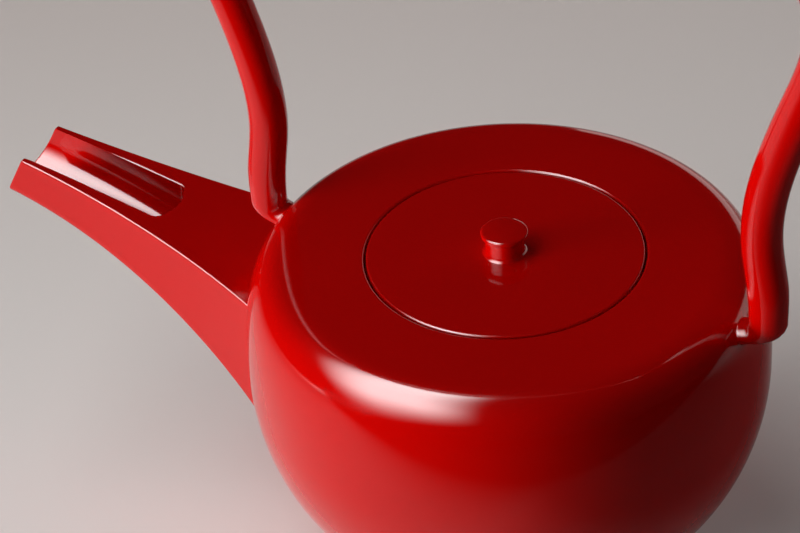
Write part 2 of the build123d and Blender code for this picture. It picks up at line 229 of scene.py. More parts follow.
class StudioSettings(bpy.types.PropertyGroup):
    """The camera and the lights of the studio."""
    lens: bpy.props.FloatProperty(
        name="Lens", description="Focal length on a 36 mm wide sensor, in millimetres",
        default=121.5, min=10)
    softbox_gloss: bpy.props.FloatProperty(
        name="Softbox in reflections", description="Radiance of the softbox that the lacquer mirrors",
        default=16.5, min=0)
    softbox_light: bpy.props.FloatProperty(
        name="Softbox light", description="Power of the softbox on everything, in watts",
        default=7.8, min=0, unit="POWER")
    panel_light: bpy.props.FloatProperty(
        name="Low panel light", description="Power of the low panel in front, in watts",
        default=94.0, min=0, unit="POWER")
    back_light: bpy.props.FloatProperty(
        name="Back panel light", description="Power of the low panel behind, in watts",
        default=36.0, min=0, unit="POWER")
    wall_gloss: bpy.props.FloatProperty(
        name="Far wall in reflections", description="Radiance of the far wall that the lacquer mirrors",
        default=1.3, min=0)
    paper_glow: bpy.props.FloatProperty(
        name="Paper glow", description="The paper's own brightness for the camera and in reflections",
        default=0.05, min=0)


# ---------------------------------------------------------------------------------------------
# Curves and meshes
# ---------------------------------------------------------------------------------------------

def bezier(start, start_pull, end_pull, end, steps):
    """Points of a cubic curve, as rows."""
    t = np.linspace(0, 1, steps + 1)[:, None]
    a, b, c, d = (np.array(p, float) for p in (start, start_pull, end_pull, end))
    return (1 - t) ** 3 * a + 3 * (1 - t) ** 2 * t * b + 3 * (1 - t) * t ** 2 * c + t ** 3 * d


def arc(centre, radius, start, end, steps):
    """Points of an arc between two angles in degrees, as rows."""
    turn = np.radians(np.linspace(start, end, steps + 1))
    return np.array(centre) + radius * np.column_stack([np.cos(turn), np.sin(turn)])


def joined(*runs):
    """Runs of points one after the other, without the points that two of them share."""
    points = np.vstack([np.atleast_2d(np.array(run, float)) for run in runs])
    moved = np.linalg.norm(np.diff(points, axis=0), axis=1) > 1e-7
    return points[np.r_[True, moved]]


def smooth_spline(points, start_direction, end_direction, steps):
    """Points and directions of a smooth cubic line through some points, with given ends."""
    points = np.array(points, float)
    gaps = np.linalg.norm(np.diff(points, axis=0), axis=1)
    knots = np.r_[0, np.cumsum(gaps)]
    count = len(points)
    matrix = np.eye(count)
    right = np.zeros_like(points)
    right[0], right[-1] = start_direction, end_direction
    for i in range(1, count - 1):
        before, after = gaps[i - 1], gaps[i]
        matrix[i, i - 1:i + 2] = after, 2 * (before + after), before
        right[i] = 3 * (after * (points[i] - points[i - 1]) / before
                        + before * (points[i + 1] - points[i]) / after)
    slopes = np.linalg.solve(matrix, right)
    at = np.linspace(0, knots[-1], steps + 1)
    cell = np.clip(np.searchsorted(knots, at, side="right") - 1, 0, count - 2)
    gap = gaps[cell][:, None]
    t = ((at - knots[cell]) / gaps[cell])[:, None]
    line = ((2 * t ** 3 - 3 * t ** 2 + 1) * points[cell] + (t ** 3 - 2 * t ** 2 + t) * gap * slopes[cell]
            + (3 * t ** 2 - 2 * t ** 3) * points[cell + 1] + (t ** 3 - t ** 2) * gap * slopes[cell + 1])
    direction = np.gradient(line, axis=0)
    direction[0], direction[-1] = start_direction, end_direction
    return line, direction / np.linalg.norm(direction, axis=1)[:, None]


def make_piece(name, vertices, faces, material, body, replaced=(), slot="vermilion_lacquer"):
    """A smooth mesh with crisp corners that rides on a body and stands for CAD nodes."""
    mesh = bpy.data.meshes.new(name)
    mesh.from_pydata(np.array(vertices).tolist(), [], faces)
    mesh.validate()
    mesh.materials.append(material)
    piece = bpy.data.objects.new(name, mesh)
    bpy.context.scene.collection.objects.link(piece)
    if body:
        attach(piece, body)
    if replaced:
        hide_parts(*replaced)
    return piece


def soften(piece, sharp_angle=38):
    """Smooth shading that keeps flats flat and corners crisp."""
    piece.data.shade_smooth()
    piece.data.set_sharp_from_angle(angle=math.radians(sharp_angle))
    weighted = piece.modifiers.new("flats stay flat", "WEIGHTED_NORMAL")
    weighted.keep_sharp = True
    weighted.weight = 100


def carve(piece, cutter):
    """Cuts a closed mesh out of a piece for good, and removes the cutter."""
    cut = piece.modifiers.new("cut", "BOOLEAN")
    cut.operation, cut.solver, cut.object = "DIFFERENCE", "EXACT", cutter
    graph = bpy.context.evaluated_depsgraph_get()
    result = bpy.data.meshes.new_from_object(piece.evaluated_get(graph))
    if not result.polygons:
        raise RuntimeError(f"cutting {piece.name} left nothing")
    piece.modifiers.remove(cut)
    old, name = piece.data, piece.data.name
    piece.data = result
    bpy.data.meshes.remove(old)
    result.name = name
    bpy.data.objects.remove(cutter)


def turned_mesh(profile, closed=False):
    """Vertices and faces of an outline in radius and height, spun about the bowl's axis."""
    turn = np.linspace(0, 2 * math.pi, ROUND_STEPS, endpoint=False)
    vertices, rings = [], []
    for radius, height in profile:
        if radius < 1e-9:
            rings.append([len(vertices)])
            vertices.append((0.0, 0.0, height))
        else:
            rings.append(list(range(len(vertices), len(vertices) + ROUND_STEPS)))
            vertices += [(radius * math.cos(a), radius * math.sin(a), height) for a in turn]
    pairs = list(zip(rings, rings[1:])) + ([(rings[-1], rings[0])] if closed else [])
    faces = []
    for upper, lower in pairs:
        if len(upper) == len(lower) == 1:
            continue
        for i in range(ROUND_STEPS):
            j = (i + 1) % ROUND_STEPS
            if len(upper) == 1:
                faces.append((upper[0], lower[i], lower[j]))
            elif len(lower) == 1:
                faces.append((upper[i], lower[0], upper[j]))
            else:
                faces.append((upper[i], lower[i], lower[j], upper[j]))
    return vertices, faces


def tube_faces(rows, columns):
    """Faces between rows of points that each go once round."""
    faces = []
    for i in range(rows - 1):
        for j in range(columns):
            k = (j + 1) % columns
            faces.append((i * columns + j, i * columns + k, (i + 1) * columns + k, (i + 1) * columns + j))
    return faces


def fan_cap(vertices, ring, flipped):
    """Closes a ring with a fan of triangles about its middle."""
    middle = len(vertices)
    vertices = np.vstack([vertices, vertices[ring].mean(axis=0)])
    pairs = zip(ring, np.roll(ring, -1))
    return vertices, [(int(b), int(a), middle) if flipped else (int(a), int(b), middle) for a, b in pairs]


# ---------------------------------------------------------------------------------------------
# The bowl's wall, and what is fitted to it
# ---------------------------------------------------------------------------------------------

def outer_profile(bowl, steps):
    """Radius and height down the bowl's outside, from the edge of the flat top to the bottom."""
    top = (bowl.flat_radius, bowl.top_height)
    belly = (bowl.belly_radius, bowl.belly_height)
    base = (bowl.base_radius, bowl.base_height)
    slope = (base[0] + bowl.base_reach * math.cos(bowl.base_slope),
             base[1] + bowl.base_reach * math.sin(bowl.base_slope))
    shoulder = bezier(top, (top[0] + bowl.shoulder_start, top[1]),
                      (belly[0], belly[1] + bowl.shoulder_fall), belly, WALL_STEPS)
    flat = np.linspace((bowl.mouth_radius + 5 * MM, top[1]), top, WALL_STEPS // 2)
    eased = ease_bend(joined(flat, shoulder), bowl.shoulder_ease)
    places = np.linspace(0, 1, steps + 1)
    start = np.searchsorted(eased[:, 0], bowl.flat_radius - 2 * bowl.shoulder_ease)
    picked = (start + (len(eased) - 1 - start) * places ** 1.4).round().astype(int)
    return joined(eased[picked],
                  bezier(belly, (belly[0], belly[1] - bowl.belly_fall), slope, base, steps))


def ease_bend(line, reach):
    """A line whose direction changes gently, over a reach, where its bend starts abruptly."""
    step = 0.05 * MM
    gone = np.r_[0, np.cumsum(np.linalg.norm(np.diff(line, axis=0), axis=1))]
    at = np.arange(0, gone[-1], step)
    even = np.column_stack([np.interp(at, gone, line[:, i]) for i in (0, 1)])
    turn = np.unwrap(np.arctan2(*np.gradient(even, axis=0).T[::-1]))
    window = np.hanning(2 * int(reach / step) + 1)
    wide = np.pad(turn, len(window) // 2, mode="edge")
    turn = np.convolve(wide, window / window.sum(), mode="valid")
    eased = even[0] + np.vstack([(0, 0), np.cumsum(np.column_stack([np.cos(turn), np.sin(turn)])[:-1] * step, axis=0)])
    share = (np.arange(len(eased)) / (len(eased) - 1))[:, None] ** 2
    return eased + share * (line[-1] - eased[-1])


def inner_profile(bowl, steps):
    """Radius and height up the hollow, from the middle of its floor to the edge of its ceiling."""
    floor = bowl.base_height + bowl.floor_thickness
    ceiling = bowl.top_height - bowl.top_thickness
    belly = (bowl.belly_radius - bowl.wall, bowl.belly_height)
    return joined(
        [(0, floor), (bowl.floor_radius / 2, floor)],
        bezier((bowl.floor_radius, floor), (bowl.floor_radius + bowl.inner_floor_reach, floor),
               (belly[0], belly[1] - bowl.inner_belly_fall), belly, steps),
        bezier(belly, (belly[0], belly[1] + bowl.inner_shoulder_fall),
               (bowl.ceiling_radius + bowl.inner_shoulder_reach, ceiling),
               (bowl.ceiling_radius, ceiling), steps))


class Wall:
    """The bowl's outside: how far it reaches at each height, and which way it faces there."""

    def __init__(self, bowl):
        profile = outer_profile(bowl, WALL_STEPS)[::-1]
        self.heights, self.radii = profile[:, 1], profile[:, 0]
        upwards = np.gradient(profile, axis=0)
        upwards /= np.linalg.norm(upwards, axis=1)[:, None]
        self.facing = np.column_stack([upwards[:, 1], -upwards[:, 0]])

    def gap(self, points):
        """How far points are outside the wall, measured level; negative inside it."""
        reach = np.interp(points[..., 2], self.heights, self.radii, right=0)
        return np.hypot(points[..., 0], points[..., 1]) - reach

    def normals(self, points):
        """The direction out of the wall at points on it."""
        across = np.hypot(points[..., 0], points[..., 1])
        outwards, up = (np.interp(points[..., 2], self.heights, self.facing[:, i]) for i in (0, 1))
        found = np.stack([outwards * points[..., 0] / across, outwards * points[..., 1] / across, up], -1)
        return found / np.linalg.norm(found, axis=-1)[..., None]


def at_index(rows, index):
    """The point of every column at a fractional row."""
    low = np.clip(np.floor(index).astype(int), 0, len(rows) - 2)
    share = (index - low)[:, None]
    columns = np.arange(rows.shape[1])
    return rows[low, columns] * (1 - share) + rows[low + 1, columns] * share


def fitted_rows(rows, wall, fillet, keep):
    """Cuts a tube to the wall: its rows run from outside to inside, and keep says which fractions
    of the way to the wall become rows of the mesh. A small fillet and a sunk last row follow."""
    gaps = wall.gap(rows)
    crossing = np.argmax(gaps < 0, axis=0)
    columns = np.arange(rows.shape[1])
    before, after = gaps[crossing - 1, columns], gaps[crossing, columns]
    index = crossing - 1 + before / (before - after)
    join = at_index(rows, index)
    step = np.linalg.norm(rows[crossing, columns] - rows[crossing - 1, columns], axis=1)
    start_index = index - fillet / step
    body = [at_index(rows, start_index * share) for share in keep]
    start = body[-1]
    normals = wall.normals(join)
    along = np.roll(join, -1, axis=0) - np.roll(join, 1, axis=0)
    across = np.cross(along, normals)
    across /= np.linalg.norm(across, axis=1)[:, None]
    away = np.sign(np.sum(across * (join - join.mean(axis=0)), axis=1))
    across *= np.sign(away.sum())
    end = join + fillet * across
    end -= wall.gap(end)[:, None] * normals + 0.02 * MM * normals
    for t in np.linspace(0, 1, 7)[1:]:
        body.append((1 - t) ** 2 * start + 2 * t * (1 - t) * join + t ** 2 * end)
    body.append(end - SUNK * normals)
    return np.array(body)


# ---------------------------------------------------------------------------------------------
# The spout's forms
# ---------------------------------------------------------------------------------------------

def curve_table(points):
    """A curve as two rows that np.interp can read: along, and height or half width."""
    order = np.argsort(points[:, 0])
    return points[order, 0], points[order, 1]


def spout_curves(spout):
    """The spout's top, underside, channel floor and half width, each as a table along x."""
    steps = 400
    overrun = 30 * MM
    chord = math.hypot(spout.tip_x - spout.root_x, spout.tip_top - spout.root_top)
    radius = (chord ** 2 / 4 + spout.top_bow ** 2) / (2 * spout.top_bow)
    share = np.linspace(-0.3, 1.3, steps)
    bow = np.sqrt(radius ** 2 - ((share - 0.5) * chord) ** 2) - (radius - spout.top_bow)
    tilt = math.atan2(spout.tip_top - spout.root_top, spout.tip_x - spout.root_x)
    along = share * chord
    top = np.column_stack([
        spout.root_x + along * math.cos(tilt) - bow * math.sin(tilt),
        spout.root_top + along * math.sin(tilt) + bow * math.cos(tilt)])

    def under(root_rise, lip_rise):
        root = np.array((spout.under_root_x, spout.under_root_height + root_rise))
        lip = np.array((spout.lip_x, spout.lip_bottom + lip_rise))
        pull = np.array((spout.under_root_pull, spout.under_root_pull))
        lead = np.array((spout.under_lip_reach, spout.under_lip_rise))
        return joined(root - overrun, bezier(root, root + pull, lip - lead, lip, steps),
                      lip + lead / lead[0] * overrun)

    root = np.array((spout.root_x, spout.root_half_width))
    tip = np.array((spout.lip_x, spout.tip_half_width))
    flare = np.array((spout.root_flare_reach, -spout.root_flare_fall))
    closing = np.array((spout.tip_flare_reach, -spout.tip_flare_rise))
    lead = 5.2 * MM
    sides = joined(
        bezier((50 * MM, 0), (56 * MM, 20 * MM), root - flare / flare[0] * lead, root, steps),
        bezier(root, root + flare, tip - closing, tip, steps),
        tip + closing / closing[0] * overrun)
    return {"top": curve_table(top), "under": curve_table(under(0, 0)),
            "floor": curve_table(under(spout.root_floor_thickness, spout.lip_thickness)),
            "side": curve_table(sides)}


def spout_outline(spout):
    """The columns of the spout's section: place across and up, radius and angle of rounding."""
    r, a = spout.edge_round, spout.arris
    rows = [(u, 0, r, -90) for u in np.linspace(-1, 1, 15)[:-1]]
    rows += [(1, 0, r, t) for t in np.linspace(-90, 0, 9)[:-1]]
    rows += [(1, v, r if v == 0 else a if v == 1 else 0, 0) for v in np.linspace(0, 1, 15)[:-1]]
    rows += [(1, 1, a, t) for t in np.linspace(0, 90, 6)[:-1]]
    rows += [(u, 1, a, 90) for u in np.linspace(1, -1, 21)[:-1]]
    rows += [(-1, 1, a, t) for t in np.linspace(90, 180, 6)[:-1]]
    rows += [(-1, v, r if v == 0 else a if v == 1 else 0, 180) for v in np.linspace(1, 0, 15)[:-1]]
    rows += [(-1, 0, r, t) for t in np.linspace(180, 270, 9)[:-1]]
    return np.array(rows, float).T


def spout_section(x, inset, outline, curves, spout):
    """The points of the spout's outline where each column has its own x."""
    across, up, radius, angle = outline
    side = np.interp(x, *curves["side"]) - inset
    low = np.interp(x, *curves["under"]) + inset + spout.edge_round
    high = np.interp(x, *curves["top"]) - inset - spout.arris
    turn = np.radians(angle)
    y = across * (side - radius) + radius * np.cos(turn)
    z = (1 - up) * low + up * high + radius * np.sin(turn)
    return np.column_stack([x * np.ones_like(y), y, z])


def spout_end_x(spout, height):
    """Where the slanted end is, at a height."""
    slope = (spout.lip_x - spout.tip_x) / (spout.tip_top - spout.lip_bottom)
    return spout.tip_x + (spout.tip_top - height) * slope


def spout_rows(spout, curves):
    """Rows of the spout from its slanted end to inside the bowl, each once round."""
    outline = spout_outline(spout)

    def end_row(inset, back):
        x = np.full(outline.shape[1], spout.tip_x)
        for _ in range(12):
            row = spout_section(x, inset, outline, curves, spout)
            x = spout_end_x(spout, row[:, 2]) - back
        return spout_section(x, inset, outline, curves, spout)

    a = spout.arris
    rounding = [end_row(a * (1 - math.cos(t)), a * (1 - math.sin(t)))
                for t in np.radians((90, 67.5, 45, 22.5))]
    start = end_row(0, a)[:, 0]
    body = [spout_section(start + (58 * MM - start) * share, 0, outline, curves, spout)
            for share in np.linspace(0, 1, 600)]
    return np.array(rounding), np.array(body)


def channel_floor(x, y, half_width, curves, spout):
    """Height of the channel's rounded floor."""
    r = spout.channel_round
    beyond = np.clip(np.abs(y) - (half_width - r), 0, r)
    return np.interp(x, *curves["floor"]) + r - np.sqrt(r ** 2 - beyond ** 2)


def slot_half_widths(spout):
    """Half the slot's plan: a bowed end, a rounded corner and a straight side, as a table."""
    half, bow, r = spout.slot_half_width, spout.slot_bow, spout.slot_corner
    big = (half ** 2 + bow ** 2) / (2 * bow)
    centre_x = spout.slot_end_x + big
    corner_y = half - r
    corner_x = centre_x - math.sqrt((big - r) ** 2 - corner_y ** 2)
    meet = math.degrees(math.atan2(corner_y, corner_x - centre_x))
    end = arc((centre_x, 0), big, 180, meet, 24)
    corner = arc((corner_x, corner_y), r, meet, 90, 10)
    return joined(end, corner)


def slot_cutter(spout, curves):
    """The open channel as a closed block, a little wider at its upper edges and at the end."""
    a, half = spout.arris, spout.slot_half_width
    plan = slot_half_widths(spout)
    turn = np.radians(np.linspace(0, 90, 6))
    straight = np.linspace(plan[-1, 0], spout.tip_x - a, 60)[1:]
    stations = np.r_[plan[1:, 0], straight, spout.tip_x - a + a * np.sin(turn[1:]), spout.tip_x + 6 * MM]
    widths = np.r_[plan[1:, 1], np.full(len(straight), half), half + a * (1 - np.cos(turn[1:])), half + a]
    flare = np.maximum(widths - half, 0)
    slope = (spout.lip_x - spout.tip_x) / (spout.tip_top - spout.lip_bottom)
    blend = np.clip((stations - 128 * MM) / (24 * MM), 0, 1)
    blend = blend ** 2 * (3 - 2 * blend)
    r = spout.channel_round
    angles = np.radians(np.linspace(0, 90, 9))
    shape = np.r_[np.linspace(0, (half - r), 5)[:-1], half - r + r * np.sin(angles)] / half
    shape = np.r_[-shape[::-1][:-1], shape]
    columns = len(shape)

    def slanted(z, i):
        return stations[i] + blend[i] * (spout.tip_top - z) * slope

    vertices = []
    for i in range(len(stations)):
        y = shape * widths[i]
        z = np.interp(stations[i], *curves["floor"]) * np.ones(columns)
        for _ in range(8):
            z = channel_floor(slanted(z, i), y, half + flare[i], curves, spout) - flare[i]
        vertices += list(zip(slanted(z, i), y, z))
    rows = len(stations)
    tip = len(vertices)
    vertices.append((spout.slot_end_x, 0.0, channel_floor(spout.slot_end_x, 0, half, curves, spout)))
    faces = [(i * columns + j, i * columns + j + 1, (i + 1) * columns + j + 1, (i + 1) * columns + j)
             for i in range(rows - 1) for j in range(columns - 1)]
    faces += [(tip, j + 1, j) for j in range(columns - 1)]
    loop = [tip] + [i * columns + columns - 1 for i in range(rows)]
    loop += [(rows - 1) * columns + j for j in range(columns - 2, -1, -1)]
    loop += [i * columns for i in range(rows - 2, -1, -1)]
    station_of = [0] + list(range(rows)) + [rows - 1] * (columns - 1) + list(range(rows - 2, -1, -1))
    lower = np.array(vertices)[loop]
    along = np.roll(lower[:, :2], -1, axis=0) - np.roll(lower[:, :2], 1, axis=0)
    outwards = np.column_stack([-along[:, 1], along[:, 0]])
    outwards /= np.linalg.norm(outwards, axis=1)[:, None]
    outwards *= np.sign(np.sum(outwards * (lower[:, :2] - lower[:, :2].mean(axis=0)), axis=1).sum())
    previous = loop
    levels = [(0.0, -a)] + [(a * (1 - math.cos(t)), a * (math.sin(t) - 1)) for t in turn[1:]] + [(a, 12 * MM)]
    for offset, rise in levels:
        current = []
        for n, i in enumerate(station_of):
            x, y = lower[n, :2] + outwards[n] * offset
            z = np.interp(x, *curves["top"]) + rise
            if n and n <= rows or n > rows + columns - 1:
                z = min(z, spout.tip_top + rise)
                x = slanted(z, i) + outwards[n, 0] * offset
            current.append(len(vertices))
            vertices.append((x, y, z))
        for n in range(len(loop)):
            m = (n + 1) % len(loop)
            faces.append((previous[n], previous[m], current[m], current[n]))
        previous = current
    vertices = np.array(vertices)
    vertices[previous, 2] = spout.tip_top + 15 * MM
    faces.append(tuple(previous[::-1]))
    return vertices, faces


def tunnel_cutter(spout, curves):
    """The covered root of the channel and the hole on through the bowl's wall, as a closed tube."""
    clear = 0.03 * MM
    half, r = spout.slot_half_width - clear, spout.channel_round
    turn = np.radians(np.linspace(0, 90, 9))
    floor_y = np.r_[np.linspace(0, half - r, 5)[:-1], half - r + r * np.sin(turn)]
    floor_y = np.r_[-floor_y[::-1][:-1], floor_y]
    top_y = np.linspace(half, -half, 9)
    stations = np.linspace(44 * MM, 118 * MM, 90)
    columns = len(floor_y) + len(top_y)
    rows = []
    for x in stations:
        ceiling = np.interp(x, *curves["top"]) - spout.cover_thickness
        if x < spout.root_x:
            ceiling = spout.pour_hole_top
        low = channel_floor(x, floor_y, half, curves, spout) + clear
        y = np.r_[floor_y, top_y]
        z = np.r_[low, np.full(len(top_y), ceiling)]
        rows.append(np.column_stack([np.full(columns, x), y, z]))
    vertices = np.vstack(rows)
    faces = tube_faces(len(stations), columns)
    faces.append(tuple(range(columns - 1, -1, -1)))
    faces.append(tuple(range((len(stations) - 1) * columns, len(stations) * columns)))
    return vertices, faces


def cutter_object(name, mesh_data):
    """A throw-away object for a cut, with its faces turned outwards."""
    mesh = bpy.data.meshes.new(name)
    mesh.from_pydata(np.array(mesh_data[0]).tolist(), [], mesh_data[1])
    import bmesh
    work = bmesh.new()
    work.from_mesh(mesh)
    bmesh.ops.recalc_face_normals(work, faces=work.faces)
    work.to_mesh(mesh)
    work.free()
    cutter = bpy.data.objects.new(name, mesh)
    bpy.context.scene.collection.objects.link(cutter)
    return cutter


# ---------------------------------------------------------------------------------------------
# Materials
# ---------------------------------------------------------------------------------------------

def add_node(tree, kind, settings=None, values=None, links=None):
    """Adds a node, sets its options and input values, and links its inputs to other outputs."""
    made = tree.nodes.new(kind)
    for option, value in (settings or {}).items():
        setattr(made, option, value)
    for socket, value in (values or {}).items():
        made.inputs[socket].default_value = value
    for socket, output in (links or {}).items():
        tree.links.new(output, made.inputs[socket])
    return made


def new_material(name):
    """An empty node material."""
    material = bpy.data.materials.new(name)
    material.use_nodes = True
    material.node_tree.nodes.clear()
    return material


def vermilion_lacquer(colours):
    """Vermilion urushi lacquer, brushed on turned wood in many coats and rubbed to a gloss."""
    found = bpy.data.materials.get("vermilion_urushi_lacquer")
    if found:
        return found
    # A deep, saturated red under a hard clear film: one sharp reflection with a soft halo, and
    # a colour that is hardly uneven, because the coats lie a little thicker here and there.
    material = new_material("vermilion_urushi_lacquer")
    tree = material.node_tree
    place = add_node(tree, "ShaderNodeTexCoord")
    clouds = add_node(tree, "ShaderNodeTexNoise", values={"Scale": 22.0, "Detail": 2.0, "Roughness": 0.5},
                      links={"Vector": place.outputs["Object"]})
    tone = add_node(tree, "ShaderNodeMix", {"data_type": "RGBA"},
                    {6: colours.lacquer, 7: colours.lacquer_deep}, {0: clouds.outputs["Fac"]})
    surface = add_node(tree, "ShaderNodeBsdfPrincipled",
                       values={"Roughness": 0.4, "IOR": 1.5, "Specular IOR Level": 0.0,
                               "Coat Weight": 1.0, "Coat Roughness": 0.09, "Coat IOR": 1.5},
                       links={"Base Color": tone.outputs[2]})
    add_node(tree, "ShaderNodeOutputMaterial", links={"Surface": surface.outputs["BSDF"]})
    return material


def bare_hardwood(colours):
    """Bare turned hardwood of the hidden pegs."""
    # Matt and pale, with fine grain lines that run along the peg.
    material = new_material("bare_hardwood")
    tree = material.node_tree
    place = add_node(tree, "ShaderNodeTexCoord")
    stretch = add_node(tree, "ShaderNodeMapping", values={"Scale": (60.0, 1500.0, 1500.0)},
                       links={"Vector": place.outputs["Object"]})
    grain = add_node(tree, "ShaderNodeTexNoise", values={"Scale": 1.0, "Detail": 3.0},
                     links={"Vector": stretch.outputs["Vector"]})
    dark = [c * 0.6 for c in colours.wood[:3]] + [1.0]
    tone = add_node(tree, "ShaderNodeMix", {"data_type": "RGBA"}, {6: colours.wood, 7: dark},
                    {0: grain.outputs["Fac"]})
    surface = add_node(tree, "ShaderNodeBsdfPrincipled", values={"Roughness": 0.6},
                       links={"Base Color": tone.outputs[2]})
    add_node(tree, "ShaderNodeOutputMaterial", links={"Surface": surface.outputs["BSDF"]})
    return material


def grey_paper(colours, glow):
    """Grey studio paper under the ewer, with painted shade that darkens it behind the ewer."""
    # Quite matt, with painted shade: its colour is darker behind the ewer than in front of it, where the lamps' light
    # falls off.
    # A small share of its brightness is its own for the camera and in reflections, so that it is pale without more
    # light on the ewer.
    material = new_material("grey_paper_painted_shade")
    tree = material.node_tree
    place = add_node(tree, "ShaderNodeTexCoord")
    # Painted shade: the paper's colour mixes towards the far colour with distance behind the ewer.
    away = add_node(tree, "ShaderNodeVectorMath", {"operation": "DOT_PRODUCT"}, {1: (0.446, -0.895, 0)},
                    {0: place.outputs["Object"]})
    share = add_node(tree, "ShaderNodeMapRange", values={"From Min": 0.0, "From Max": 0.45},
                     links={"Value": away.outputs["Value"]})
    tone = add_node(tree, "ShaderNodeMix", {"data_type": "RGBA"},
                    {6: colours.floor, 7: colours.floor_far_painted_shade}, {0: share.outputs[0]})
    surface = add_node(tree, "ShaderNodeBsdfPrincipled",
                       values={"Roughness": 0.9, "Specular IOR Level": 0.2},
                       links={"Base Color": tone.outputs[2]})
    ray = add_node(tree, "ShaderNodeLightPath")
    seen = add_node(tree, "ShaderNodeMath", {"operation": "MAXIMUM"},
                    links={0: ray.outputs["Is Camera Ray"], 1: ray.outputs["Is Glossy Ray"]})
    seen = add_node(tree, "ShaderNodeMath", {"operation": "MAXIMUM"},
                    links={0: seen.outputs[0], 1: ray.outputs["Is Transmission Ray"]})
    strength = add_node(tree, "ShaderNodeMath", {"operation": "MULTIPLY"}, {1: glow},
                        {0: seen.outputs[0]})
    own = add_node(tree, "ShaderNodeEmission",
                   links={"Color": tone.outputs[2], "Strength": strength.outputs[0]})
    both = add_node(tree, "ShaderNodeAddShader", links={0: surface.outputs[0], 1: own.outputs[0]})
    add_node(tree, "ShaderNodeOutputMaterial", links={"Surface": both.outputs[0]})
    return material


# ---------------------------------------------------------------------------------------------
# Operators
# ---------------------------------------------------------------------------------------------

class EWER_OT_bowl(bpy.types.Operator):
    """Builds the turned bowl with its mouth, its hollow and the hole to the spout"""
    bl_idname = "ewer.bowl"
    bl_label = "Bowl"

    def execute(self, context):
        bowl, spout = context.scene.ewer_bowl, context.scene.ewer_spout
        a, mouth, top = bowl.mouth_arris, bowl.mouth_radius, bowl.top_height
        ledge = top - context.scene.ewer_lid.thickness
        ceiling = top - bowl.top_thickness
        neck = mouth - bowl.ledge_width
        profile = joined(
            arc((mouth + a, top - a), a, 180, 90, 6),
            [(mouth + 4 * MM, top)],
            outer_profile(bowl, 90),
            [(bowl.base_radius - bowl.foot_ring_width, bowl.base_height), (0, bowl.base_height)],
            inner_profile(bowl, 48),
            [(neck, ceiling), (neck, ledge), (mouth, ledge)])
        vertices, faces = turned_mesh(profile, closed=True)
        piece = make_piece("bowl", vertices, faces, vermilion_lacquer(context.scene.ewer_colours),
                           "root", ("lower_bowl", "top_ring"))
        face_outwards(piece)
        carve(piece, cutter_object("pour hole", tunnel_cutter(spout, spout_curves(spout))))
        soften(piece)
        return {"FINISHED"}


class EWER_OT_foot_ring(bpy.types.Operator):
    """Builds the low ring that the ewer stands on"""
    bl_idname = "ewer.foot_ring"
    bl_label = "Foot ring"

    def execute(self, context):
        bowl = context.scene.ewer_bowl
        a, height = bowl.foot_arris, bowl.base_height
        inner = bowl.base_radius - bowl.foot_ring_width
        spread = bowl.foot_radius - bowl.base_radius
        radius = (spread ** 2 + height ** 2) / (2 * spread)
        top_turn = math.degrees(math.asin(height / radius))
        low_turn = math.degrees(math.asin(a / radius))
        profile = joined(
            arc((inner + a, a), a, 180, 270, 6),
            arc((bowl.foot_radius - a, a), a, 270, 360, 6),
            arc((bowl.foot_radius - radius, 0), radius, low_turn, top_turn, 10),
            [(bowl.base_radius, height + 0.4 * MM), (inner, height + 0.4 * MM)])
        vertices, faces = turned_mesh(profile, closed=True)
        piece = make_piece("foot_ring_lacquered", vertices, faces,
                           vermilion_lacquer(context.scene.ewer_colours), "root", ("foot_ring",))
        face_outwards(piece)
        soften(piece)
        return {"FINISHED"}


class EWER_OT_spout(bpy.types.Operator):
    """Builds the carved spout, faired into the bowl, with its open channel and covered root"""
    bl_idname = "ewer.spout"
    bl_label = "Spout"

    def execute(self, context):
        spout = context.scene.ewer_spout
        curves = spout_curves(spout)
        rounding, body = spout_rows(spout, curves)
        keep = np.linspace(0, 1, 110)
        rows = np.concatenate([rounding, fitted_rows(body, Wall(context.scene.ewer_bowl),
                                                     spout.root_fillet, keep)])
        columns = rows.shape[1]
        vertices = rows.reshape(-1, 3)
        faces = tube_faces(len(rows), columns)
        faces.append(tuple(range(columns - 1, -1, -1)))
        last = np.arange(columns) + (len(rows) - 1) * columns
        vertices, cap = fan_cap(vertices, last, False)
        piece = make_piece("spout", vertices, faces + cap,
                           vermilion_lacquer(context.scene.ewer_colours), "root",
                           ("spout_trough", "spout_cover"))
        face_outwards(piece)
        carve(piece, cutter_object("tunnel", tunnel_cutter(spout, curves)))
        carve(piece, cutter_object("slot", slot_cutter(spout, curves)))
        soften(piece)
        return {"FINISHED"}


